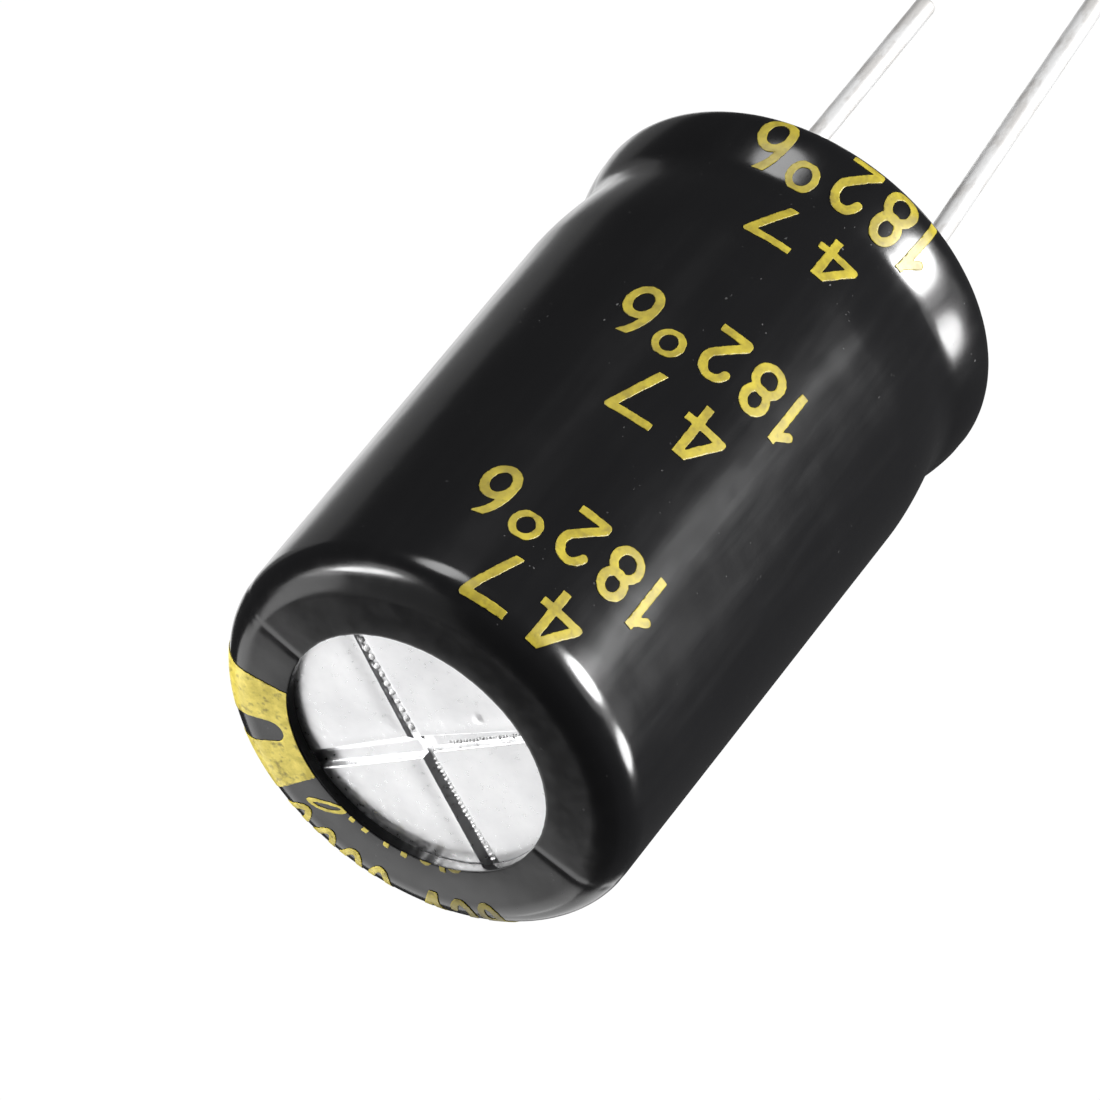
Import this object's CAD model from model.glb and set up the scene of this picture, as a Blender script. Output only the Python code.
# Finishes and fine detail of a radial electrolytic capacitor, in metres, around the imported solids.
import math

import bpy
import numpy as np
from mathutils import Matrix, Vector, noise


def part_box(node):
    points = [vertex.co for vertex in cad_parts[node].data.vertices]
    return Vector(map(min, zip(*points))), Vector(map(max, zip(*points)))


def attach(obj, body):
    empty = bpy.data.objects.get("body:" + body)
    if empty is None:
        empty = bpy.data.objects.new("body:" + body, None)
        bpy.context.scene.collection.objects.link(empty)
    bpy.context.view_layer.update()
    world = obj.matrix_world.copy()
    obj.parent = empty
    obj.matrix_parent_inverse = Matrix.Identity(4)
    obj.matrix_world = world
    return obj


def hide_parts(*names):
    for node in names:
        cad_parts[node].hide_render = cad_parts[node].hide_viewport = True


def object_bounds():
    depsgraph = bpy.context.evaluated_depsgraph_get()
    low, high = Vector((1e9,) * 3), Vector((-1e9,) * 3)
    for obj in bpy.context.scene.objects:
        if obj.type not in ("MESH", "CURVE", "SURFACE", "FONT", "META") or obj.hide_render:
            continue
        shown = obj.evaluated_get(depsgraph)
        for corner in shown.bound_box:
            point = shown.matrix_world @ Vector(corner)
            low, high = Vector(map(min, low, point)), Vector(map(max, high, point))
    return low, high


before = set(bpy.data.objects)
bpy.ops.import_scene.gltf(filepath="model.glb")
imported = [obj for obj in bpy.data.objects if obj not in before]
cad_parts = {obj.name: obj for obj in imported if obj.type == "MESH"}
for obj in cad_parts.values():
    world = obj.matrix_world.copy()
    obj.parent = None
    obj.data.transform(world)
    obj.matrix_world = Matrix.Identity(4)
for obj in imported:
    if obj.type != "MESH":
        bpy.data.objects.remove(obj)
cad_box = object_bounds()

MM = 0.001
MERGE = 0.0005 * MM

# Body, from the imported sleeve
BODY_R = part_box("sleeve")[1].x
BODY_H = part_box("sleeve")[1].z
SHOULDER_R = 1.35 * MM
NECK_H = 7.4 * MM
GROOVE_H = 3.7 * MM
GROOVE_R = BODY_R - 0.46 * MM
BULGE_H = 1.54 * MM
BULGE_R = BODY_R - 0.025 * MM
SEAT_R = BODY_R - 2.6 * MM
RING_BOW = 0.075 * MM
GROOVE_EASE = 0.09 * MM

# Sleeve film
FILM_T = 0.2 * MM
VENT_HOLE_R = BODY_R - 3.0 * MM
LEAD_HOLE_R = 5.2 * MM
CUT_EDGE_R = 0.05 * MM
HOLE_BAND = 0.3 * MM
FOLD_AZIMUTH = math.radians(-40.5)
LAP_AZIMUTH = math.radians(-160)

# Can
CAN_WALL = 0.35 * MM
CAN_END = 0.5 * MM
PANEL_DEPTH = 0.22 * MM
PANEL_R = BODY_R - 2.2 * MM
PANEL_Z = BODY_H - FILM_T - PANEL_DEPTH
CEILING_Z = PANEL_Z - CAN_END
BEAD_R = 0.65 * MM
BEAD_SINK = 0.25 * MM
LIP_R = 0.2 * MM
SHELL = FILM_T + CAN_WALL

# Cross of scores on the can's closed end
SCORE_L = 2 * (PANEL_R - 0.45 * MM)
SCORE_DEPTH = 0.24 * MM
STEEP_W = 0.12 * MM
FAR_SLOPE = 0.34
NEAR_SLOPE = 0.14
SAG_DEPTH = 0.014 * MM
SAG_W = 0.45 * MM
DENT_X = -2.66 * MM
DENT_Y = -1.78 * MM
DENT_R = 0.1 * MM
DENT_RIM = 0.03 * MM

# Leads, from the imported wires
LEAD_X = 3.75 * MM
LEAD_R = 0.4 * MM
WELD_R = 0.65 * MM
WELD_Z = 1.5 * MM
CATHODE_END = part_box("cathode_lead")[0].z
ANODE_L = 20 * MM
ANODE_STRAIGHT = 2 * MM
ANODE_LEAN = math.radians(4.3)
BEND_R = 4 * MM
WIRE_STEP = 0.25 * MM
CUT_L = 0.6 * MM

# Print
INK_LIFT = 0.002 * MM
INK_T = 0.02 * MM
TEXT_H = 2.5 * MM
STROKE_W = 0.34 * MM
PRINT_START = 0.002 * MM
CUT_ROW_START = 0.04 * MM
DIGIT_GRID = 0.05 * MM
STRIPE_GRID = 0.09 * MM
RAGGED_DEPTH = 0.02 * MM
STRIPE_MIDDLE = math.radians(3.3)
STRIPE_HALF = math.radians(20.9)
STRIPE_FLARE = math.radians(0.8)
BAR_W = 1.15 * MM
BAR_L = 5.2 * MM
FIRST_BAR = 3.1 * MM
BAR_PITCH = 10.1 * MM

# Fineness of the outline's bends where it is printed on, seen, or hidden
PRINT_STEPS = 48
SEEN_STEPS = 20
HIDDEN_STEPS = 8
RING_STEPS = 16


def feed(tree, socket, value):
    """Links a socket to the input, or writes a plain value into it."""
    if isinstance(value, bpy.types.NodeSocket):
        tree.links.new(value, socket)
    else:
        socket.default_value = value


def add_node(tree, kind, settings=None, **inputs):
    """A node with its properties set and its inputs fed; an input's name has _ for each space."""
    node = tree.nodes.new(kind)
    for key, value in (settings or {}).items():
        setattr(node, key, value)
    for key, value in inputs.items():
        feed(tree, node.inputs[key.replace("_", " ")], value)
    return node


def calc(tree, operation, *values):
    """The result of one sum on numbers or sockets."""
    node = tree.nodes.new("ShaderNodeMath")
    node.operation = operation
    for socket, value in zip(node.inputs, values):
        feed(tree, socket, value)
    return node.outputs[0]


# Outline of the body

def arc(steps, at, first=0):
    """Points at(turn) for a turn from 0 to a right angle."""
    return [at(math.pi / 2 * i / steps) for i in range(first, steps + 1)]


def side(inset, steps):
    """The body's outline moved inwards by inset, from the shoulder's top to the flat of the seat."""
    wall_top = BODY_H - SHOULDER_R
    depth = BODY_R - GROOVE_R
    points = arc(steps, lambda t: (
        BODY_R - SHOULDER_R + (SHOULDER_R - inset) * math.sin(t),
        wall_top + (SHOULDER_R - inset) * math.cos(t)))
    points += [(BODY_R - inset, wall_top + (NECK_H - wall_top) * i / steps) for i in range(1, steps)]
    points += eased(arc(steps, lambda t: (
        BODY_R - inset - depth * (1 - math.cos(t)),
        NECK_H + (GROOVE_H - NECK_H) * t / (math.pi / 2))), depth, NECK_H - GROOVE_H)
    swell = BULGE_R - GROOVE_R
    points += eased(arc(steps, lambda t: (
        GROOVE_R - inset + swell * math.sin(t),
        GROOVE_H + (BULGE_H - GROOVE_H) * t / (math.pi / 2)), 1), swell, GROOVE_H - BULGE_H)
    points += arc(steps, lambda t: (
        SEAT_R + (BULGE_R - inset - SEAT_R) * math.cos(t),
        BULGE_H - (BULGE_H - inset) * math.sin(t)), 1)
    return points


def eased(points, depth, height):
    """One side of the groove, of a given size, lifted near its bottom so that both sides meet softly."""
    steepness = depth * math.pi / 2 / height
    reach = 2 * GROOVE_EASE / steepness
    return [(r + GROOVE_EASE * max(0, 1 - abs(z - GROOVE_H) / reach) ** 2, z) for r, z in points]


def bowed(points):
    """The outline with the ring round the vent bowed down a little towards the shoulder."""
    flat_w = BODY_R - SHOULDER_R - VENT_HOLE_R
    shoulder_foot = BODY_H - SHOULDER_R - 0.01 * MM
    result = []
    for r, z in points:
        if z > shoulder_foot:
            z -= RING_BOW * (1 - math.exp(-((r - VENT_HOLE_R) / flat_w) ** 2))
        result.append((r, z))
    return result


def spaced(start, end, count):
    """Points on a straight stretch, without its two ends."""
    start, end = np.array(start), np.array(end)
    return [tuple(start + (end - start) * i / count) for i in range(1, count)]


class Skin:
    """Places on the sleeve's outside by the distance along its outline from the vent's edge."""

    flat = [(VENT_HOLE_R, BODY_H)] + spaced((VENT_HOLE_R, BODY_H), side(0, 1)[0], RING_STEPS)
    points = np.array(bowed(flat + side(0, PRINT_STEPS)))
    run = np.concatenate([[0], np.cumsum(np.hypot(*np.diff(points, axis=0).T))])
    slope = np.gradient(points, run, axis=0)

    @classmethod
    def radius(cls, run):
        """The skin's radius at a distance along its outline."""
        return np.interp(run, cls.run, cls.points[:, 0])

    @classmethod
    def at(cls, azimuth, run, lift):
        """Positions in the row frame, lifted off the skin."""
        r, z = (np.interp(run, cls.run, cls.points[:, k]) for k in (0, 1))
        along_r, along_z = (np.interp(run, cls.run, cls.slope[:, k]) for k in (0, 1))
        size = np.hypot(along_r, along_z)
        r = r - lift * along_z / size
        z = z + lift * along_r / size
        return np.stack([r * np.cos(azimuth), r * np.sin(azimuth), z], -1)


# Meshes

def mesh_object(name, verts, faces, material, smooth=True):
    """A mesh of one material, as an object at the origin."""
    mesh = bpy.data.meshes.new(name)
    mesh.from_pydata([tuple(v) for v in verts], [], [tuple(int(i) for i in f) for f in faces])
    mesh.validate()
    mesh.polygons.foreach_set("use_smooth", [smooth] * len(mesh.polygons))
    mesh.materials.append(material)
    mesh.update()
    obj = bpy.data.objects.new(name, mesh)
    bpy.context.scene.collection.objects.link(obj)
    return obj


def volume(mesh):
    """Signed volume, which is below zero where the faces point inwards."""
    mesh.calc_loop_triangles()
    co = np.zeros(len(mesh.vertices) * 3, np.float32)
    mesh.vertices.foreach_get("co", co)
    tris = np.zeros(len(mesh.loop_triangles) * 3, np.int32)
    mesh.loop_triangles.foreach_get("vertices", tris)
    a, b, c = co.reshape(-1, 3).astype(float)[tris.reshape(-1, 3)].transpose(1, 0, 2)
    return float(np.einsum("ij,ij->i", a, np.cross(b, c)).sum() / 6)


def face_outwards(obj):
    """Turns a closed mesh that was made inside out."""
    if volume(obj.data) < 0:
        obj.data.flip_normals()


def join(name, pieces):
    """One object of several plain meshes that share a material."""
    verts = []
    faces = []
    for piece in pieces:
        start = len(verts)
        verts += [tuple(v.co) for v in piece.data.vertices]
        faces += [tuple(start + i for i in p.vertices) for p in piece.data.polygons]
    obj = mesh_object(name, verts, faces, pieces[0].data.materials[0])
    for piece in pieces:
        bpy.data.objects.remove(piece)
    return obj


def geometry_tree(name, inputs):
    """An empty geometry tree with its named inputs, and its input and output sockets."""
    tree = bpy.data.node_groups.new(name, "GeometryNodeTree")
    tree.interface.new_socket("Geometry", in_out="INPUT", socket_type="NodeSocketGeometry")
    tree.interface.new_socket("Geometry", in_out="OUTPUT", socket_type="NodeSocketGeometry")
    for label, kind in inputs.items():
        tree.interface.new_socket(label, in_out="INPUT", socket_type="NodeSocket" + kind)
    return tree, tree.nodes.new("NodeGroupInput").outputs, tree.nodes.new("NodeGroupOutput").inputs[0]


def finish_tree(tree, result, geometry, material):
    """Ends a geometry tree in smooth, real faces of one material."""
    smooth = add_node(tree, "GeometryNodeSetShadeSmooth", Geometry=geometry)
    real = add_node(tree, "GeometryNodeRealizeInstances", Geometry=smooth.outputs[0])
    done = add_node(tree, "GeometryNodeSetMaterial", Geometry=real.outputs[0], Material=material)
    feed(tree, result, done.outputs[0])


def grown(name, source, tree, inputs):
    """The plain mesh that a geometry tree makes of the source mesh, as a new object."""
    obj = bpy.data.objects.new(name, source)
    bpy.context.scene.collection.objects.link(obj)
    modifier = obj.modifiers.new(tree.name, "NODES")
    modifier.node_group = tree
    sockets = {i.name: i.identifier for i in tree.interface.items_tree if i.in_out == "INPUT"}
    for label, value in inputs.items():
        modifier[sockets[label]] = value
    depsgraph = bpy.context.evaluated_depsgraph_get()
    mesh = bpy.data.meshes.new_from_object(obj.evaluated_get(depsgraph))
    obj.modifiers.remove(modifier)
    obj.data = mesh
    mesh.name = name
    face_outwards(obj)
    return obj


# Materials

def new_material(name, **values):
    """A material with its principled shader, whose plain values are set on its own sockets."""
    material = bpy.data.materials.new(name)
    material.use_nodes = True
    shader = material.node_tree.nodes["Principled BSDF"]
    for key, value in values.items():
        socket = shader.inputs[key.replace("_", " ")]
        socket.default_value = (*value, 1) if isinstance(value, tuple) else value
    return material, material.node_tree, shader


def object_place(tree, scale=(1, 1, 1)):
    """Object coordinates, stretched by a scale."""
    place = tree.nodes.new("ShaderNodeTexCoord").outputs["Object"]
    return add_node(tree, "ShaderNodeMapping", Vector=place, Scale=scale).outputs[0]


def noise_of(tree, place, scale, detail=3.0, roughness=0.5):
    """A noise of a given scale, around one half."""
    return add_node(tree, "ShaderNodeTexNoise", Vector=place, Scale=scale, Detail=detail,
                    Roughness=roughness).outputs["Fac"]


def ramp(tree, value, low, high, out_low=0.0, out_high=1.0):
    """A value moved from one range to another and kept inside it."""
    return add_node(tree, "ShaderNodeMapRange", Value=value, From_Min=low, From_Max=high,
                    To_Min=out_low, To_Max=out_high).outputs[0]


def mix_colour(tree, share, first, second):
    """The first colour where the share is 0, and the second where it is 1."""
    node = add_node(tree, "ShaderNodeMix", {"data_type": "RGBA"})
    feed(tree, node.inputs[0], share)
    for index, colour in ((6, first), (7, second)):
        feed(tree, node.inputs[index], (*colour, 1) if isinstance(colour, tuple) else colour)
    return node.outputs[2]


def bump(tree, height, depth, under=None):
    """A bump of a given depth, on top of another one."""
    node = add_node(tree, "ShaderNodeBump", Height=height, Distance=depth, Strength=1.0)
    if under is not None:
        feed(tree, node.inputs["Normal"], under)
    return node.outputs[0]


def film_material():
    """Black shrunk film: slow ripples, a fine orange peel, dust and faint rubbed streaks."""
    material, tree, shader = new_material("sleeve_film", IOR=1.47)
    place = object_place(tree)
    ripples = noise_of(tree, place, 260, 2)
    peel = noise_of(tree, place, 2600, 2)
    feed(tree, shader.inputs["Normal"], bump(tree, peel, 0.001 * MM, bump(tree, ripples, 0.03 * MM)))
    dust = ramp(tree, noise_of(tree, place, 5200, 1), 0.76, 0.8)
    patches = ramp(tree, noise_of(tree, place, 300, 2), 0.45, 0.7)
    feed(tree, shader.inputs["Base Color"], mix_colour(
        tree, calc(tree, "MULTIPLY", dust, patches), (0.0035, 0.0035, 0.0038), (0.07, 0.07, 0.07)))
    streaks = noise_of(tree, object_place(tree, (1, 1, 0.12)), 1500, 3)
    streaked = ramp(tree, streaks, 0.4, 0.75, 0.16, 0.21)
    rubbed = calc(tree, "MULTIPLY", patches, 0.03)
    feed(tree, shader.inputs["Roughness"], calc(tree, "ADD", streaked, rubbed))
    return material


def ink_material():
    """Yellow ink, blotchy where it lies thin, and laid thicker on the stripe's side."""
    material, tree, shader = new_material("printed_ink", IOR=1.42)
    place = object_place(tree)
    blotches = ramp(tree, noise_of(tree, place, 1300, 4, 0.65), 0.34, 0.66)
    side_x = add_node(tree, "ShaderNodeSeparateXYZ", Vector=place).outputs[0]
    thick = ramp(tree, side_x, 0.0, 3 * MM)
    low = mix_colour(tree, thick, (0.14, 0.11, 0.008), (0.49, 0.395, 0.045))
    high = mix_colour(tree, thick, (0.25, 0.205, 0.022), (0.82, 0.675, 0.125))
    yellow = mix_colour(tree, blotches, low, high)
    thin = ramp(tree, noise_of(tree, place, 3600, 3), 0.54, 0.74, 0.0, 0.8)
    feed(tree, shader.inputs["Base Color"], mix_colour(tree, thin, yellow, (0.12, 0.095, 0.015)))
    feed(tree, shader.inputs["Roughness"], ramp(tree, blotches, 0, 1, 0.42, 0.3))
    feed(tree, shader.inputs["Normal"], bump(tree, noise_of(tree, place, 3600, 2), 0.002 * MM))
    return material


def can_material():
    """Drawn aluminium with a soft rolled grain and faint stains."""
    material, tree, shader = new_material("can_aluminium", Metallic=1.0)
    place = object_place(tree)
    stains = ramp(tree, noise_of(tree, place, 420, 4, 0.6), 0.35, 0.68)
    bright = mix_colour(tree, stains, (0.84, 0.84, 0.85), (0.95, 0.95, 0.955))
    feed(tree, shader.inputs["Base Color"], bright)
    grain = noise_of(tree, place, 4200, 2)
    rolled = noise_of(tree, object_place(tree, (0.2, 1, 1)), 3400, 2)
    feed(tree, shader.inputs["Roughness"], ramp(tree, grain, 0.3, 0.7, 0.26, 0.42))
    feed(tree, shader.inputs["Normal"], bump(tree, rolled, 0.001 * MM))
    return material


def wire_material():
    """Tinned wire: bright tin with duller smears that run along it."""
    material, tree, shader = new_material("tinned_wire")
    smears = noise_of(tree, object_place(tree, (1, 1, 0.35)), 1700, 4, 0.62)
    dull = ramp(tree, smears, 0.45, 0.57)
    tin = mix_colour(tree, dull, (0.56, 0.56, 0.56), (0.44, 0.43, 0.42))
    feed(tree, shader.inputs["Base Color"], tin)
    feed(tree, shader.inputs["Metallic"], ramp(tree, dull, 0, 1, 0.55, 0.65))
    feed(tree, shader.inputs["Roughness"], ramp(tree, smears, 0.4, 0.6, 0.3, 0.48))
    pits = noise_of(tree, object_place(tree), 5200, 3)
    feed(tree, shader.inputs["Normal"], bump(tree, pits, 0.002 * MM, bump(tree, smears, 0.004 * MM)))
    return material


def rubber_material():
    """Black moulded rubber with a paler bloom."""
    material, tree, shader = new_material("seal_rubber", IOR=1.5)
    place = object_place(tree)
    bloom = ramp(tree, noise_of(tree, place, 700, 4), 0.4, 0.75)
    black = mix_colour(tree, bloom, (0.016, 0.016, 0.016), (0.045, 0.044, 0.042))
    feed(tree, shader.inputs["Base Color"], black)
    feed(tree, shader.inputs["Roughness"], ramp(tree, bloom, 0, 1, 0.62, 0.82))
    feed(tree, shader.inputs["Normal"], bump(tree, noise_of(tree, place, 6000, 3), 0.006 * MM))
    return material


def inner_metal_material(name, dark, light, low, high, grain_scale):
    """Pressed or etched aluminium inside the can."""
    material, tree, shader = new_material(name, Metallic=1.0)
    place = object_place(tree)
    grain = noise_of(tree, place, grain_scale, 4, 0.6)
    feed(tree, shader.inputs["Base Color"], mix_colour(tree, ramp(tree, grain, 0.35, 0.65), dark, light))
    feed(tree, shader.inputs["Roughness"], ramp(tree, grain, 0.35, 0.65, low, high))
    feed(tree, shader.inputs["Normal"], bump(tree, grain, 0.002 * MM))
    return material


def paper_material():
    """Tissue with fibres along the winding's height, darker where it is soaked."""
    material, tree, shader = new_material("separator_paper", IOR=1.4)
    fibres = noise_of(tree, object_place(tree, (1, 1, 0.2)), 4200, 5, 0.7)
    soak = noise_of(tree, object_place(tree), 260, 3)
    dry = mix_colour(tree, ramp(tree, fibres, 0.35, 0.65), (0.50, 0.41, 0.24), (0.72, 0.63, 0.43))
    wet = calc(tree, "MULTIPLY", ramp(tree, soak, 0.45, 0.65), 0.5)
    feed(tree, shader.inputs["Base Color"], mix_colour(tree, wet, dry, (0.36, 0.28, 0.14)))
    feed(tree, shader.inputs["Roughness"], ramp(tree, soak, 0.4, 0.7, 0.8, 0.45))
    feed(tree, shader.inputs["Normal"], bump(tree, fibres, 0.006 * MM))
    return material


def tape_material():
    """Amber tape with patches of glue behind it."""
    material, tree, shader = new_material("tape_film", IOR=1.5)
    place = object_place(tree)
    glue = ramp(tree, noise_of(tree, place, 500, 4), 0.35, 0.7)
    amber = mix_colour(tree, glue, (0.42, 0.27, 0.08), (0.62, 0.44, 0.17))
    feed(tree, shader.inputs["Base Color"], amber)
    feed(tree, shader.inputs["Roughness"], ramp(tree, glue, 0, 1, 0.2, 0.34))
    feed(tree, shader.inputs["Normal"], bump(tree, noise_of(tree, place, 1500, 2), 0.003 * MM))
    return material


FILM = film_material()
INK = ink_material()
CAN = can_material()
WIRE = wire_material()
RUBBER = rubber_material()
TAB = inner_metal_material(
    "tab_aluminium", (0.62, 0.62, 0.63), (0.78, 0.78, 0.79), 0.32, 0.48, 3000)
ANODE = inner_metal_material(
    "anode_foil_metal", (0.36, 0.36, 0.37), (0.5, 0.5, 0.51), 0.6, 0.78, 9000)
CATHODE = inner_metal_material(
    "cathode_foil_metal", (0.34, 0.32, 0.28), (0.45, 0.43, 0.38), 0.55, 0.74, 9000)
PAPER = paper_material()
TAPE = tape_material()


# Sleeve

def turned_film_tree():
    """Turns a half section round Z into film with ripples, two fold creases and an uneven hole."""
    tree, given, result = geometry_tree("turned_film", {
        "Rows": "Int", "Segments": "Int", "Fold Azimuth": "Float", "Fold Sharpness": "Float",
        "Fold Depth": "Float", "Ripple Depth": "Float", "Ripple Scale": "Float",
        "Nibble Depth": "Float", "Nibble Scale": "Float", "Lap Azimuth": "Float",
        "Lap Sharpness": "Float", "Lap Depth": "Float", "Film": "Material"})
    grid = add_node(tree, "GeometryNodeMeshGrid", Size_X=1.0, Size_Y=1.0,
                    Vertices_X=calc(tree, "ADD", given["Segments"], 1),
                    Vertices_Y=calc(tree, "ADD", given["Rows"], 1))
    across = add_node(tree, "ShaderNodeSeparateXYZ", Vector=grid.outputs["UV Map"])
    up = calc(tree, "ROUND", calc(tree, "MULTIPLY", across.outputs[1], given["Rows"]))
    row = calc(tree, "MODULO", up, given["Rows"])
    turn = calc(tree, "MULTIPLY", across.outputs[0], math.tau)
    cos_turn = calc(tree, "COSINE", turn)
    sin_turn = calc(tree, "SINE", turn)

    def of_section(value):
        sample = add_node(tree, "GeometryNodeSampleIndex", {"data_type": "FLOAT_VECTOR"},
                          Geometry=given["Geometry"], Value=value, Index=row)
        return add_node(tree, "ShaderNodeSeparateXYZ", Vector=sample.outputs[0]).outputs

    def named(name):
        stored = add_node(tree, "GeometryNodeInputNamedAttribute", {"data_type": "FLOAT_VECTOR"},
                          Name=name)
        return of_section(stored.outputs[0])

    def placed(radius, height):
        return add_node(tree, "ShaderNodeCombineXYZ", X=calc(tree, "MULTIPLY", radius, cos_turn),
                        Y=calc(tree, "MULTIPLY", radius, sin_turn), Z=height).outputs[0]

    def noise_at(place, scale):
        found = add_node(tree, "ShaderNodeTexNoise", Vector=place, Scale=scale, Detail=1.0)
        return found.outputs[0]

    spot = of_section(tree.nodes.new("GeometryNodeInputPosition").outputs[0])
    push = named("push")
    nibble = named("nibble")
    rippled = noise_at(placed(spot[0], spot[2]), given["Ripple Scale"])
    ripple = calc(tree, "MULTIPLY", rippled, given["Ripple Depth"])
    from_fold = calc(tree, "SUBTRACT", turn, given["Fold Azimuth"])
    near_fold = calc(tree, "ABSOLUTE", calc(tree, "COSINE", from_fold))
    creased = calc(tree, "POWER", near_fold, given["Fold Sharpness"])
    fold = calc(tree, "MULTIPLY", creased, given["Fold Depth"])
    sunk = calc(tree, "ADD", ripple, fold)
    from_lap = calc(tree, "SUBTRACT", turn, given["Lap Azimuth"])
    near_lap = calc(tree, "MAXIMUM", calc(tree, "COSINE", from_lap), 0.0)
    lapped = calc(tree, "POWER", near_lap, given["Lap Sharpness"])
    lap = calc(tree, "MULTIPLY", lapped, given["Lap Depth"])
    nibbled = noise_at(placed(VENT_HOLE_R, 0.0), given["Nibble Scale"])
    bitten = calc(tree, "SUBTRACT", calc(tree, "MULTIPLY", nibbled, given["Nibble Depth"]), lap)
    sunk_r = calc(tree, "SUBTRACT", spot[0], calc(tree, "MULTIPLY", push[0], sunk))
    radius = calc(tree, "ADD", sunk_r, calc(tree, "MULTIPLY", nibble[0], bitten))
    height = calc(tree, "SUBTRACT", spot[2], calc(tree, "MULTIPLY", push[2], sunk))
    turned = add_node(tree, "GeometryNodeSetPosition", Geometry=grid.outputs["Mesh"],
                      Position=placed(radius, height))
    merged = add_node(tree, "GeometryNodeMergeByDistance", Geometry=turned.outputs[0], Distance=MERGE)
    finish_tree(tree, result, merged.outputs[0], given["Film"])
    return tree


def rounded(points, radius, steps=4):
    """A closed outline with its marked corners rounded; a point is (r, z, whether it is a corner)."""
    result = []
    count = len(points)
    for i, (r, z, corner) in enumerate(points):
        here = np.array([r, z])
        if not corner:
            result.append(here)
            continue
        before = np.array(points[i - 1][:2]) - here
        after = np.array(points[(i + 1) % count][:2]) - here
        start = here + before / np.linalg.norm(before) * radius
        end = here + after / np.linalg.norm(after) * radius
        for k in range(steps + 1):
            t = k / steps
            result.append((1 - t) ** 2 * start + 2 * t * (1 - t) * here + t ** 2 * end)
    return np.array(result)


def sleeve_section():
    """The film's closed half section, with its two cut edges rounded."""
    outer = side(0, SEEN_STEPS)
    inner = side(FILM_T, HIDDEN_STEPS)[::-1]
    hole_edge = (VENT_HOLE_R, BODY_H)
    hem_edge = (LEAD_HOLE_R, 0)
    points = [(*hole_edge, True)]
    points += [(*p, False) for p in bowed(spaced(hole_edge, outer[0], RING_STEPS) + outer)]
    points += [(*p, False) for p in spaced(outer[-1], hem_edge, 4)]
    points += [(*hem_edge, True), (LEAD_HOLE_R, FILM_T, True)]
    points += [(*p, False) for p in inner]
    points += [(PANEL_R + PANEL_DEPTH, BODY_H - FILM_T, False), (PANEL_R, PANEL_Z, False)]
    points += [(VENT_HOLE_R, PANEL_Z, True)]
    return rounded(points, CUT_EDGE_R)


def make_sleeve():
    """The film, free to ripple where it shows and uneven round its hole."""
    section = sleeve_section()
    count = len(section)
    ahead = np.roll(section, -1, axis=0) - np.roll(section, 1, axis=0)
    out = np.stack([-ahead[:, 1], ahead[:, 0]], -1)
    out /= np.linalg.norm(out, axis=1)[:, None]
    r, z = section.T
    on_ring = z > BODY_H - FILM_T / 2
    on_side = (r > SEAT_R) & (out[:, 0] > 0.2) & (np.abs(z - PANEL_Z) > 0.1 * MM)
    free = (on_ring | on_side).astype(float)
    at_hole = np.clip(1 - (r - VENT_HOLE_R) / HOLE_BAND, 0, 1) * (z > PANEL_Z - 0.01 * MM)
    mesh = bpy.data.meshes.new("sleeve_section")
    mesh.from_pydata([(r, 0, z) for r, z in section], [(i, (i + 1) % count) for i in range(count)], [])
    flat = np.zeros(count)
    for name, r_part, z_part in (("push", out[:, 0] * free, out[:, 1] * free), ("nibble", at_hole, flat)):
        vectors = np.stack([r_part, flat, z_part], -1).astype(np.float32)
        layer = mesh.attributes.new(name, "FLOAT_VECTOR", "POINT")
        layer.data.foreach_set("vector", vectors.ravel())
    return grown("sleeve_skin", mesh, turned_film_tree(), {
        "Rows": count, "Segments": 520, "Fold Azimuth": FOLD_AZIMUTH, "Fold Sharpness": 2600.0,
        "Fold Depth": 0.014 * MM, "Ripple Depth": 0.012 * MM, "Ripple Scale": 240.0,
        "Nibble Depth": 0.04 * MM, "Nibble Scale": 2600.0, "Lap Azimuth": LAP_AZIMUTH,
        "Lap Sharpness": 1.5, "Lap Depth": 0.17 * MM, "Film": FILM})


# Ink, cut from a height field over the sleeve's skin

def ink_piece(name, inside, azimuths, runs, grid):
    """A thin closed layer of ink wherever inside(azimuth, run) is above zero."""
    columns = max(2, int((azimuths[1] - azimuths[0]) * BODY_R / grid))
    rows = max(2, int((runs[1] - runs[0]) / grid))
    across = np.linspace(*azimuths, columns + 1)
    down = np.linspace(*runs, rows + 1)
    azimuth, run = np.meshgrid(across, down, indexing="ij")
    field = inside(azimuth, run)
    field[[0, -1], :] = -1
    field[:, [0, -1]] = -1
    spots, faces = contour(azimuth, run, field)
    top = Skin.at(spots[:, 0], spots[:, 1], INK_LIFT + INK_T)
    bottom = Skin.at(spots[:, 0], spots[:, 1], INK_LIFT)
    count = len(spots)
    edges = set()
    for face in faces:
        edges.update(zip(face, face[1:] + face[:1]))
    rim = [(a, b) for a, b in edges if (b, a) not in edges]
    under = [tuple(i + count for i in reversed(face)) for face in faces]
    walls = [(b, a, a + count, b + count) for a, b in rim]
    obj = mesh_object(name, np.concatenate([top, bottom]), faces + under + walls, INK)
    face_outwards(obj)
    return obj


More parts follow.
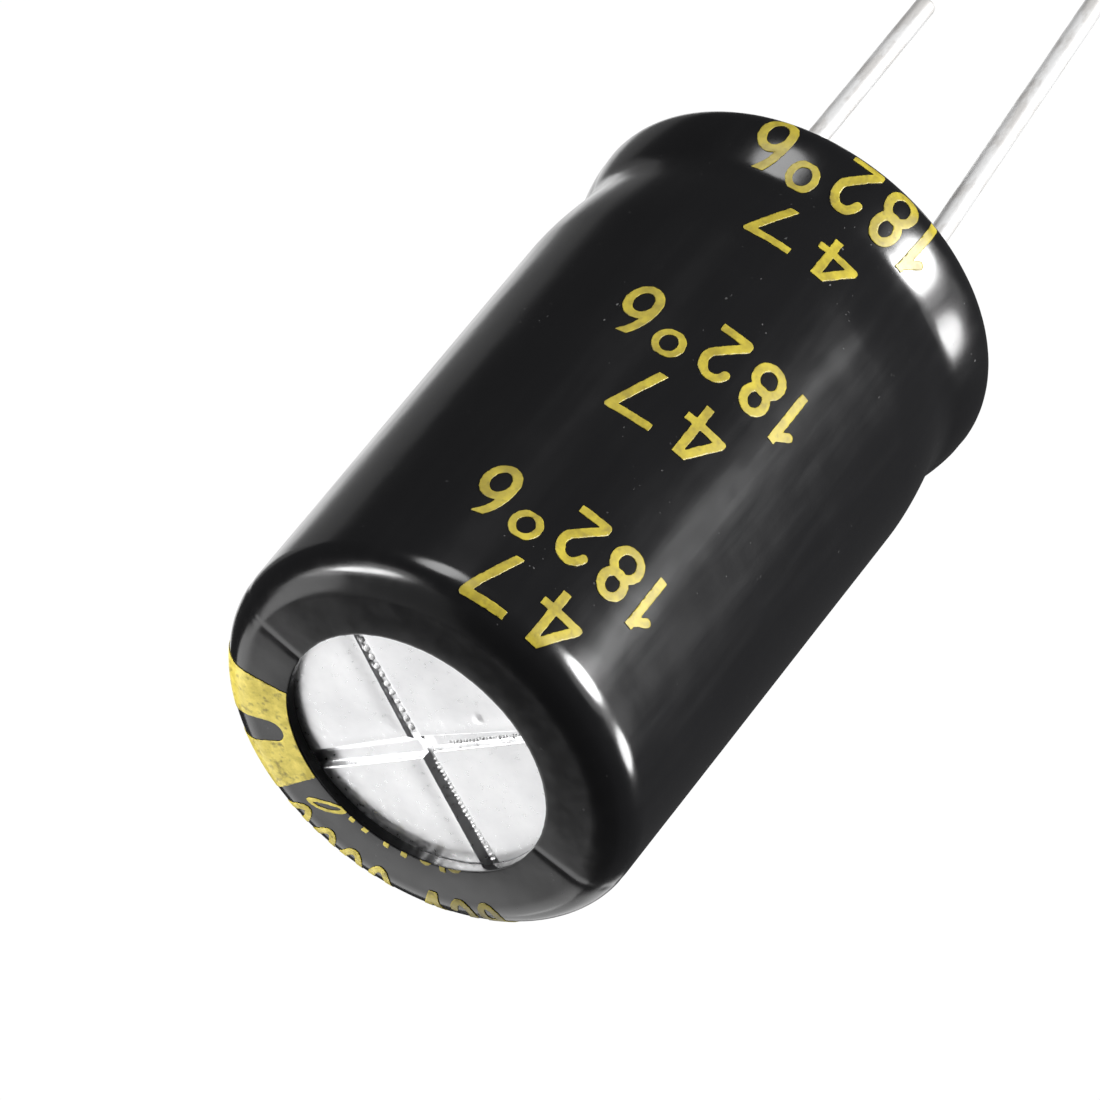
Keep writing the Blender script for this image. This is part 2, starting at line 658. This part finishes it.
def contour(x, y, field):
    """Faces of the part of a grid where the field is above zero, cut along its edge."""
    inside = field > 0
    index = {}
    spots = []

    def corner(a):
        if a not in index:
            index[a] = len(spots)
            spots.append((x[a], y[a]))
        return index[a]

    def crossing(a, b):
        key = (a, b) if a < b else (b, a)
        if key not in index:
            share = min(max(field[a] / (field[a] - field[b]), 0.02), 0.98)
            index[key] = len(spots)
            spots.append((x[a] + (x[b] - x[a]) * share, y[a] + (y[b] - y[a]) * share))
        return index[key]

    faces = []
    some = inside[:-1, :-1] | inside[1:, :-1] | inside[1:, 1:] | inside[:-1, 1:]
    for i, j in np.argwhere(some):
        ring = [(i, j), (i + 1, j), (i + 1, j + 1), (i, j + 1)]
        face = []
        for a, b in zip(ring, ring[1:] + ring[:1]):
            if inside[a]:
                face.append(corner(a))
            if inside[a] != inside[b]:
                face.append(crossing(a, b))
        if len(face) > 2:
            faces.append(tuple(face))
    return np.array(spots), faces


def ragged(azimuth, run, size, depth):
    """Noise over the skin that makes printed edges uneven."""
    flat = np.stack([azimuth * BODY_R / size, run / size], -1).reshape(-1, 2)
    values = [noise.noise((u, v, 0.5)) for u, v in flat]
    return depth * np.array(values).reshape(azimuth.shape)


def curve(centre, size, start, end, steps=14):
    """Points on an elliptical stretch from one angle to another, in degrees."""
    turns = np.radians(np.linspace(start, end, steps))
    return [(centre[0] + size[0] * math.cos(t), centre[1] + size[1] * math.sin(t)) for t in turns]


# Strokes of each plain digit in a box one unit wide and high, which cuts what runs past it
DIGITS = {
    "0": [curve((0, 0), (0.38, 0.43), 0, 360, 28)],
    "1": [[(0.2, 0.6), (0.2, -0.6)], [(0.2, 0.4), (-0.3, 0.2)]],
    "2": [curve((0, 0.18), (0.36, 0.25), 165, -30, 12) + [(-0.34, -0.36), (-0.34, -0.43), (0.6, -0.43)]],
    "4": [[(0.2, 0.6), (0.2, -0.6)], [(0.1, 0.5), (-0.42, -0.15), (0.6, -0.15)]],
    "6": [curve((0, -0.16), (0.37, 0.27), 0, 360, 22), curve((0.28, -0.16), (0.65, 0.72), 180, 112, 8)],
    "7": [[(-0.6, 0.43), (0.4, 0.43), (-0.12, -0.6)]],
    "8": [curve((0, 0.215), (0.31, 0.215), 0, 360, 20), curve((0, -0.2), (0.37, 0.23), 0, 360, 20)],
}


def stroke_distance(across, up, strokes):
    """Distance from each place to the nearest stroke of a glyph."""
    nearest = np.full(across.shape, 1.0)
    for stroke in strokes:
        for (x0, y0), (x1, y1) in zip(stroke, stroke[1:]):
            dx, dy = x1 - x0, y1 - y0
            share = np.clip(((across - x0) * dx + (up - y0) * dy) / (dx * dx + dy * dy + 1e-12), 0, 1)
            nearest = np.minimum(nearest, np.hypot(across - x0 - share * dx, up - y0 - share * dy))
    return nearest


def print_digit(digit, azimuth0, run0, width, height=TEXT_H, stroke=STROKE_W, slant=0.0, first_run=0.0):
    """One printed digit that reads along increasing azimuth, with its top towards the vent."""
    strokes = [[(x * width, y * height) for x, y in points] for points in DIGITS[digit]]
    skin_r = float(Skin.radius(run0))

    def inside(azimuth, run):
        up = run0 - run
        across = (azimuth - azimuth0) * skin_r - slant * up
        box = np.minimum(width / 2 - np.abs(across), height / 2 - np.abs(up))
        inked = np.minimum(stroke / 2 - stroke_distance(across, up, strokes), box)
        inked = np.minimum(inked, run - first_run)
        return inked + ragged(azimuth, run, 0.16 * MM, RAGGED_DEPTH)

    reach = (width / 2 + abs(slant) * height / 2 + stroke) / skin_r
    start = max(run0 - height / 2 - stroke, first_run - stroke, PRINT_START)
    return ink_piece("digit", inside, (azimuth0 - reach, azimuth0 + reach),
                     (start, run0 + height / 2 + stroke), DIGIT_GRID)


def make_numbers():
    """Two lines of plain digits, and a small raised one, in each of the groups down the front."""
    upper = (("4", -136.85, 1.75), ("7", -119.45, 1.85))
    lower = (("1", -152.1, 0.95), ("8", -141.25, 1.4), ("2", -128.75, 1.35), ("6", -104.35, 1.45))
    groups = ((4.22, 0, 2.5), (14.4, 1.2, 2.5), (24.37, 2.3, 2.15))
    pieces = []
    for run, turn, height in groups:
        for digit, azimuth, width in upper:
            spot = (math.radians(azimuth + turn), run * MM)
            pieces.append(print_digit(digit, *spot, width * MM, height * MM))
        for digit, azimuth, width in lower:
            spot = (math.radians(azimuth + turn), (run + 3.42) * MM)
            pieces.append(print_digit(digit, *spot, width * MM))
        spot = (math.radians(-116.2 + turn), (run + 2.6) * MM)
        pieces.append(print_digit("0", *spot, 1.22 * MM, 1.26 * MM, 0.27 * MM))
    return join("printed_numbers", pieces)


def make_shoulder_numbers():
    """The row of digits over the shoulder beside the stripe, and the row that the hole's edge cuts off."""
    row = (("0", 34.2), ("0", 44.0), ("0", 53.3), ("0", 62.6), ("4", 79.5), ("2", 89.5), ("8", 98.5))
    cut_row = (("1", 44), ("7", 52.5), ("4", 60), ("7", 70), ("0", 79), ("1", 84.5), ("8", 92))
    pieces = [print_digit(digit, math.radians(azimuth), 2.6 * MM, 1.0 * MM, 2.3 * MM, 0.29 * MM)
              for digit, azimuth in row]
    pieces += [print_digit(digit, math.radians(azimuth), -0.98 * MM, 0.8 * MM, stroke=0.22 * MM,
                           first_run=CUT_ROW_START) for digit, azimuth in cut_row]
    pieces.append(print_digit("0", math.radians(36.6), 0.62 * MM, 0.62 * MM, 1.3 * MM, 0.17 * MM,
                              slant=0.75, first_run=CUT_ROW_START))
    return join("shoulder_numbers", pieces)


def make_stripe():
    """The polarity stripe, with its rounded minus bars left bare."""
    end = Skin.run[-1]

    def inside(azimuth, run):
        ring_r = Skin.radius(run)
        spread = STRIPE_HALF + STRIPE_FLARE * np.clip(run / (2 * MM), 0, 1)
        off = (spread - np.abs(azimuth - STRIPE_MIDDLE)) * ring_r
        field = np.minimum(np.minimum(off, run - 0.03 * MM), end - 0.2 * MM - run)
        half_w = BAR_W / 2 * np.interp(run, [0.5 * MM, 2 * MM], [0.68, 1])
        for bar in range(3):
            middle = FIRST_BAR + bar * BAR_PITCH
            beyond = np.maximum(np.abs(run - middle) - BAR_L / 2 + half_w, 0)
            gap = np.hypot(beyond, (azimuth - STRIPE_MIDDLE) * ring_r) - half_w
            field = np.minimum(field, gap)
        return field + ragged(azimuth, run, 0.12 * MM, RAGGED_DEPTH)

    reach = STRIPE_HALF + math.radians(2)
    return ink_piece("stripe_ink", inside, (STRIPE_MIDDLE - reach, STRIPE_MIDDLE + reach),
                     (PRINT_START, end - 0.1 * MM), STRIPE_GRID)


# Can

class Score:
    """One line of the cross: its direction, its place, and its edges' offsets along each half."""

    def __init__(self, azimuth, x, y, far, near, near_depth):
        """Far and near are halves, each with both edges' offsets in mm at the cross and at its end."""
        self.along = np.array([math.cos(math.radians(azimuth)), math.sin(math.radians(azimuth))])
        self.left = np.array([-self.along[1], self.along[0]])
        self.middle = np.array([x, y]) * MM
        self.far = np.array(far) * MM
        self.near = np.array(near) * MM
        self.near_depth = near_depth

    def place(self, along, off):
        """The place at a distance along the line and a distance off it."""
        return self.middle + along * self.along + off * self.left

    def edges(self, along):
        """Offsets of the steep and of the sloping edge at a distance along the line."""
        share = np.clip(np.abs(along) / (SCORE_L / 2), 0, 1)
        ends = np.where((along > 0)[..., None], self.far[0], self.near[0])
        outer = np.where((along > 0)[..., None], self.far[1], self.near[1])
        both = ends + (outer - ends) * share[..., None]
        return both[..., 0], both[..., 1]

    def depth(self, x, y):
        """How deep the panel is pressed: a steep side, a sloping side and a slight sag beside it."""
        along = (x - self.middle[0]) * self.along[0] + (y - self.middle[1]) * self.along[1]
        off = (x - self.middle[0]) * self.left[0] + (y - self.middle[1]) * self.left[1]
        steep, sloping = self.edges(along)
        slope_w = np.where(along > 0, FAR_SLOPE, NEAR_SLOPE) * (steep - sloping)
        steep_side = np.clip((steep - off) / STEEP_W, 0, 1)
        cut = np.minimum(steep_side, np.clip((off - sloping) / slope_w, 0, 1))
        soft = SAG_DEPTH * np.exp(-((off - sloping + 0.1 * MM) / SAG_W) ** 2)
        depth = SCORE_DEPTH * np.interp(along, [-0.5 * MM, 0.3 * MM], [self.near_depth, 1])
        pressed = np.where(np.abs(along) < SCORE_L / 2, cut * depth, 0)
        return np.maximum(pressed, soft)


SCORES = (
    Score(106.8, 0.04, 0.0, ((0.31, -0.28), (0.45, -0.44)), ((0.15, -0.45), (0.18, -0.2)), 0.5),
    Score(18.1, 0.0, 0.075, ((0.41, -0.56), (0.42, -0.36)), ((0.21, -0.5), (0.18, -0.24)), 0.8),
)


def panel_lines():
    """Grid lines across the panel, closer together over the scores."""
    near = np.linspace(0, 0.7 * MM, 30)
    far = np.linspace(0.7 * MM, PANEL_R, 50)[1:]
    half = np.concatenate([near, far])
    return np.concatenate([-half[:0:-1], half])


def panel_heights(x, y):
    """The pressed panel: its cross of scores, a slight unevenness and one small dent's rim."""
    depth = np.maximum(SCORES[0].depth(x, y), SCORES[1].depth(x, y))
    uneven = np.array([noise.noise((u / (1.6 * MM), v / (1.6 * MM), 0.3)) for u, v in zip(x, y)])
    spot = np.hypot(x - DENT_X, y - DENT_Y)
    dent = DENT_RIM * np.exp(-((spot - DENT_R) / (DENT_R / 2)) ** 2)
    free = np.clip((5.2 * MM - np.hypot(x, y)) / (0.5 * MM), 0, 1)
    return PANEL_Z - depth + free * (dent + 0.004 * MM * uneven)


def edge_loop(faces):
    """The outer edge of a patch of faces, as an ordered loop of vertices."""
    seen = set()
    for face in faces:
        seen.update(zip(face, face[1:] + face[:1]))
    follow = {a: b for a, b in seen if (b, a) not in seen}
    start = next(iter(follow))
    loop = [start]
    while follow[loop[-1]] != start:
        loop.append(follow[loop[-1]])
    return loop


def beaded(points, bead_r):
    """An outline whose points inside the rolled bead are moved out of it."""
    centre = (GROOVE_R - FILM_T - BEAD_SINK + BEAD_R, GROOVE_H)
    result = []
    for r, z in points:
        if math.hypot(r - centre[0], z - centre[1]) < bead_r:
            r = centre[0] - math.sqrt(bead_r ** 2 - (z - centre[1]) ** 2)
        result.append((r, z))
    return result


def can_section():
    """Radius and height from the panel's edge, down the outside, round the lip and up inside."""
    turn_r = SHELL + LIP_R - FILM_T
    lip_z = SHELL + LIP_R
    corner_r = SHOULDER_R - SHELL
    corner_z = BODY_H - SHOULDER_R
    section = [(PANEL_R, PANEL_Z), (PANEL_R + PANEL_DEPTH, BODY_H - FILM_T)]
    section += beaded(side(FILM_T, HIDDEN_STEPS), BEAD_R)
    section += arc(8, lambda t: (SEAT_R - turn_r * math.sin(t), lip_z - turn_r * math.cos(t)), 1)
    section += arc(6, lambda t: (SEAT_R - LIP_R * math.cos(t), lip_z - LIP_R * math.sin(t)))
    inside = beaded(side(SHELL, HIDDEN_STEPS), BEAD_R + CAN_WALL)[::-1]
    section += [(r, z) for r, z in inside if z < CEILING_Z]
    ceiling_r = BODY_R - SHOULDER_R + math.sqrt(corner_r ** 2 - (CEILING_Z - corner_z) ** 2)
    section.append((ceiling_r, CEILING_Z))
    return section


def make_can():
    """The can in one closed mesh: a grid over the scored panel, and turned rings from its edge on."""
    lines = panel_lines()
    gx, gy = np.meshgrid(lines, lines, indexing="ij")
    inside = np.hypot(gx, gy) < PANEL_R * 0.99
    keep = inside[:-1, :-1] & inside[1:, :-1] & inside[1:, 1:] & inside[:-1, 1:]
    across, up = SCORES[1].along, SCORES[1].left
    flat = []
    faces = []
    index = {}
    for i, j in np.argwhere(keep):
        face = []
        for a, b in ((i, j), (i + 1, j), (i + 1, j + 1), (i, j + 1)):
            if (a, b) not in index:
                index[a, b] = len(flat)
                flat.append(gx[a, b] * across + gy[a, b] * up)
            face.append(index[a, b])
        faces.append(tuple(face))
    flat = np.array(flat)
    verts = np.column_stack([flat, panel_heights(*flat.T)]).tolist()
    loop = edge_loop(faces)
    azimuths = [math.atan2(verts[i][1], verts[i][0]) for i in loop]
    previous = loop
    count = len(loop)
    for r, z in can_section():
        start = len(verts)
        verts += [(r * math.cos(t), r * math.sin(t), z) for t in azimuths]
        current = list(range(start, start + count))
        faces += [(previous[(k + 1) % count], previous[k], current[k], current[(k + 1) % count])
                  for k in range(count)]
        previous = current
    verts.append((0, 0, CEILING_Z))
    faces += [(previous[(k + 1) % count], previous[k], len(verts) - 1) for k in range(count)]
    obj = mesh_object("can_metal", verts, faces, CAN)
    face_outwards(obj)
    return obj


def bead_row_tree():
    """Small raised beads of uneven size along a straight line."""
    tree, given, result = geometry_tree("bead_row", {
        "Start": "Vector", "End": "Vector", "Count": "Int", "Size": "Vector", "Jitter": "Vector",
        "Turn": "Vector", "Seed": "Int", "Metal": "Material"})
    row = add_node(tree, "GeometryNodeMeshLine", {"mode": "END_POINTS"}, Count=given["Count"])
    feed(tree, row.inputs["Start Location"], given["Start"])
    feed(tree, row.inputs["Offset"], given["End"])

    def random_vector(low, high):
        draw = add_node(tree, "FunctionNodeRandomValue", {"data_type": "FLOAT_VECTOR"}, Seed=given["Seed"])
        feed(tree, draw.inputs[0], low)
        feed(tree, draw.inputs[1], high)
        return draw.outputs[0]

    def times(first, second):
        product = add_node(tree, "ShaderNodeVectorMath", {"operation": "MULTIPLY"})
        feed(tree, product.inputs[0], first)
        feed(tree, product.inputs[1], second)
        return product.outputs[0]

    back = times(given["Jitter"], (-1.0, -1.0, -1.0))
    moved = add_node(tree, "GeometryNodeSetPosition", Geometry=row.outputs[0],
                     Offset=random_vector(back, given["Jitter"]))
    ball = add_node(tree, "GeometryNodeMeshIcoSphere", Radius=1.0, Subdivisions=3)
    size = times(given["Size"], random_vector((0.7, 0.7, 0.6), (1.1, 1.1, 1.1)))
    placed = add_node(tree, "GeometryNodeInstanceOnPoints", Points=moved.outputs[0],
                      Instance=ball.outputs["Mesh"], Scale=size)
    feed(tree, placed.inputs["Rotation"], given["Turn"])
    finish_tree(tree, result, placed.outputs[0], given["Metal"])
    return tree


def make_score_beads():
    """Tool marks along the bottoms of the scores: where each row runs, how many beads, and their size."""
    tree = bead_row_tree()
    first_line, second_line = SCORES
    rows = (
        (first_line, 0.75, 5.1, -0.02, 1.0, 26, (0.06, 0.1, 0.05)),
        (first_line, -0.75, -4.9, -0.1, 0.5, 12, (0.13, 0.13, 0.12)),
        (second_line, -1.1, -4.9, 0.0, 0.8, 26, (0.05, 0.07, 0.05)),
    )
    pieces = []
    for seed, (score, first, last, off, depth, count, size) in enumerate(rows):
        floor = PANEL_Z - SCORE_DEPTH * depth
        start, end = ((*score.place(d * MM, off * MM).tolist(), floor) for d in (first, last))
        pieces.append(grown("bead_row", bpy.data.meshes.new("no_points"), tree, {
            "Start": start, "End": end, "Count": count, "Size": tuple(s * MM for s in size),
            "Jitter": (0.02 * MM, 0.02 * MM, 0.01 * MM),
            "Turn": (0.0, 0.0, math.atan2(score.along[1], score.along[0])),
            "Seed": seed, "Metal": CAN}))
    return join("score_beads", pieces)


# Leads

def drawn_wire_tree():
    """A round wire along the source's points, as thick as they say, with slight waves in its skin."""
    tree, given, result = geometry_tree("drawn_wire", {
        "Sides": "Int", "Wave Depth": "Float", "Wave Scale": "Float", "Metal": "Material"})
    thickness = add_node(tree, "GeometryNodeInputNamedAttribute", {"data_type": "FLOAT"},
                         Name="thickness")
    path = add_node(tree, "GeometryNodeMeshToCurve", Mesh=given["Geometry"])
    circle = add_node(tree, "GeometryNodeCurvePrimitiveCircle", Resolution=given["Sides"], Radius=1.0)
    tube = add_node(tree, "GeometryNodeCurveToMesh", Curve=path.outputs[0],
                    Profile_Curve=circle.outputs[0], Scale=thickness.outputs[0], Fill_Caps=True)
    place = tree.nodes.new("GeometryNodeInputPosition").outputs[0]
    wave = add_node(tree, "ShaderNodeTexNoise", Vector=place, Scale=given["Wave Scale"], Detail=1.0)
    sink = calc(tree, "MULTIPLY", calc(tree, "MULTIPLY", wave.outputs[0], given["Wave Depth"]), -1.0)
    inwards = add_node(tree, "ShaderNodeVectorMath", {"operation": "SCALE"}, Scale=sink)
    feed(tree, inwards.inputs[0], tree.nodes.new("GeometryNodeInputNormal").outputs[0])
    waved = add_node(tree, "GeometryNodeSetPosition", Geometry=tube.outputs[0], Offset=inwards.outputs[0])
    merged = add_node(tree, "GeometryNodeMergeByDistance", Geometry=waved.outputs[0], Distance=MERGE)
    finish_tree(tree, result, merged.outputs[0], given["Metal"])
    return tree


def taper(x):
    """The stretch from the weld down to the seat."""
    return [(x, WELD_Z * (1 - t), WELD_R + (LEAD_R - WELD_R) * t) for t in np.linspace(0, 1, 8)]


def cut_end(x, z, way_x, way_z):
    """Wire points towards a cut end, whose rim is pinched a little by the cutter."""
    ends = ((0.5, 1), (0.12, 1), (0.05, 0.97), (0.015, 0.9), (0.0, 0.84))
    return [(x - way_x * back * MM, z - way_z * back * MM, LEAD_R * share) for back, share in ends]


def make_wire(name, points, tree):
    """A wire along points, each with its x, its z and the wire's radius there."""
    mesh = bpy.data.meshes.new(name + "_path")
    mesh.from_pydata([(x, 0, z) for x, z, _ in points], [(i, i + 1) for i in range(len(points) - 1)], [])
    layer = mesh.attributes.new("thickness", "FLOAT", "POINT")
    layer.data.foreach_set("value", [r for _, _, r in points])
    return grown(name, mesh, tree, {
        "Sides": 40, "Wave Depth": 0.008 * MM, "Wave Scale": 900.0, "Metal": WIRE})


def make_leads():
    """The straight cathode lead, and the anode lead that leans towards it below one small bend."""
    tree = drawn_wire_tree()
    cathode = taper(LEAD_X)
    cathode += [(LEAD_X, z, LEAD_R) for z in np.arange(-WIRE_STEP, CATHODE_END + CUT_L, -WIRE_STEP)]
    cathode += cut_end(LEAD_X, CATHODE_END, 0, -1)
    anode = taper(-LEAD_X)
    anode += [(-LEAD_X, z, LEAD_R) for z in np.arange(-WIRE_STEP, -ANODE_STRAIGHT, -WIRE_STEP)]
    for turn in np.linspace(0, ANODE_LEAN, 6):
        x = -LEAD_X + BEND_R * (1 - math.cos(turn))
        z = -ANODE_STRAIGHT - BEND_R * math.sin(turn)
        anode.append((x, z, LEAD_R))
    way_x, way_z = math.sin(ANODE_LEAN), -math.cos(ANODE_LEAN)
    rest = ANODE_L - ANODE_STRAIGHT - BEND_R * ANODE_LEAN
    leaning = np.arange(WIRE_STEP, rest - CUT_L, WIRE_STEP)
    anode += [(x + way_x * d, z + way_z * d, LEAD_R) for d in leaning]
    anode += cut_end(x + way_x * rest, z + way_z * rest, way_x, way_z)
    return make_wire("cathode_wire", cathode, tree), make_wire("anode_wire", anode, tree)


# Stage and camera

def direction(azimuth, elevation):
    """The unit vector that points to an azimuth and an elevation, in degrees."""
    a, e = math.radians(azimuth), math.radians(elevation)
    return Vector((math.cos(e) * math.cos(a), math.cos(e) * math.sin(a), math.sin(e)))


def make_camera():
    """The photograph's view, from its azimuth, elevation, roll and place."""
    azimuth, elevation, roll = -130.85, 38.45, math.radians(-140.82)
    spot = Vector((-0.176958, -0.206005, 0.232722))
    back = direction(azimuth, elevation)
    level = direction(azimuth + 90, 0)
    up = back.cross(level)
    camera = bpy.data.cameras.new("camera")
    camera.sensor_width = 36
    camera.lens = 327.27
    camera.clip_start = 0.01
    camera.clip_end = 20
    obj = bpy.data.objects.new("camera", camera)
    bpy.context.scene.collection.objects.link(obj)
    right = level * math.cos(roll) + up * math.sin(roll)
    turned_up = up * math.cos(roll) - level * math.sin(roll)
    matrix = Matrix((right, turned_up, back)).transposed().to_4x4()
    matrix.translation = spot
    obj.matrix_world = matrix
    bpy.context.scene.camera = obj


def make_floor():
    """A plain white floor just below the longer lead."""
    size = 3.0
    level = cad_box[0][2] - 0.5 * MM
    material = bpy.data.materials.new("floor_white")
    material.use_nodes = True
    tree = material.node_tree
    tree.nodes.clear()
    glow = add_node(tree, "ShaderNodeEmission", Color=(1, 1, 1, 1), Strength=1.02)
    out = tree.nodes.new("ShaderNodeOutputMaterial")
    tree.links.new(glow.outputs[0], out.inputs[0])
    corners = [(-size, -size, level), (size, -size, level), (size, size, level), (-size, size, level)]
    floor = mesh_object("floor", corners, [(0, 1, 2, 3)], material, False)
    floor.visible_glossy = False
    floor.visible_shadow = False


def soft_light(name, azimuth, elevation, width, height, radiance, distance=0.4):
    """A soft box seen from the body in a given direction, its sizes in degrees of sight."""
    light = bpy.data.lights.new(name, "AREA")
    light.shape = "ELLIPSE"
    light.size = 2 * distance * math.tan(math.radians(width / 2))
    light.size_y = 2 * distance * math.tan(math.radians(height / 2))
    light.energy = radiance * math.pi * light.size * light.size_y * math.pi / 4
    obj = bpy.data.objects.new(name, light)
    bpy.context.scene.collection.objects.link(obj)
    way = direction(azimuth, elevation)
    middle = Vector((0, 0, BODY_H / 2))
    turn = way.to_track_quat("Z", "Y").to_matrix().to_4x4()
    obj.matrix_world = Matrix.Translation(middle + way * distance) @ turn
    obj.visible_camera = False


def make_studio():
    """Soft boxes, some with a fainter and wider glow, in a dim grey room with a white backdrop."""
    soft_light("shoulder_box", -45, 37, 32, 14, 24)
    soft_light("shoulder_glow", -42, 37, 56, 28, 2.4)
    soft_light("side_box", 5, 41, 46, 22, 2.4)
    soft_light("bulge_box", -167, -15, 24, 33, 42)
    soft_light("bulge_glow", -170, -10, 36, 56, 2.0)
    soft_light("left_box", 155, -13, 21, 25, 24)
    soft_light("left_glow", 164, -16, 40, 42, 1.3)
    soft_light("right_box", -88, -14, 23, 28, 9)
    soft_light("vent_box", 50, 22, 52, 32, 1.95)
    soft_light("low_box", 74, -6, 26, 46, 1.3)
    soft_light("edge_box", 35, -38, 32, 34, 1.0)
    soft_light("edge_glow", 18, -38, 56, 34, 0.22)
    soft_light("dome", -20, 64, 80, 26, 0.35)
    world = bpy.data.worlds.new("studio")
    bpy.context.scene.world = world
    world.use_nodes = True
    tree = world.node_tree
    seen = tree.nodes.new("ShaderNodeLightPath").outputs["Is Camera Ray"]
    backdrop = tree.nodes["Background"]
    room = mix_colour(tree, seen, (0.055, 0.055, 0.056), (1.0, 1.0, 1.0))
    feed(tree, backdrop.inputs["Color"], room)
    bpy.context.scene.view_settings.view_transform = "Standard"


def place(piece, slot, *nodes):
    """Puts a piece on the body, in its material slot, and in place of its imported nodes."""
    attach(piece, "root")
    if nodes:
        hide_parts(*nodes)


def finish_cad_nodes():
    """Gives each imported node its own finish."""
    finishes = {
        "sleeve": FILM, "polarity_stripe": INK, "can": CAN, "bung": RUBBER, "cathode_lead": WIRE,
        "anode_lead": WIRE, "cathode_tab": TAB, "anode_tab": TAB, "anode_foil": ANODE,
        "cathode_foil": CATHODE, "inner_separator": PAPER, "outer_separator": PAPER, "fixing_tape": TAPE}
    for name, material in finishes.items():
        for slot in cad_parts[name].material_slots:
            slot.material = material


make_camera()
make_floor()
make_studio()
finish_cad_nodes()
place(make_sleeve(), "sleeve_film", "sleeve")
place(make_stripe(), "printed_ink", "polarity_stripe")
place(make_numbers(), "printed_ink")
place(make_shoulder_numbers(), "printed_ink")
place(make_can(), "can_aluminium", "can")
place(make_score_beads(), "can_aluminium")
cathode_wire, anode_wire = make_leads()
place(cathode_wire, "tinned_wire", "cathode_lead")
place(anode_wire, "tinned_wire", "anode_lead")
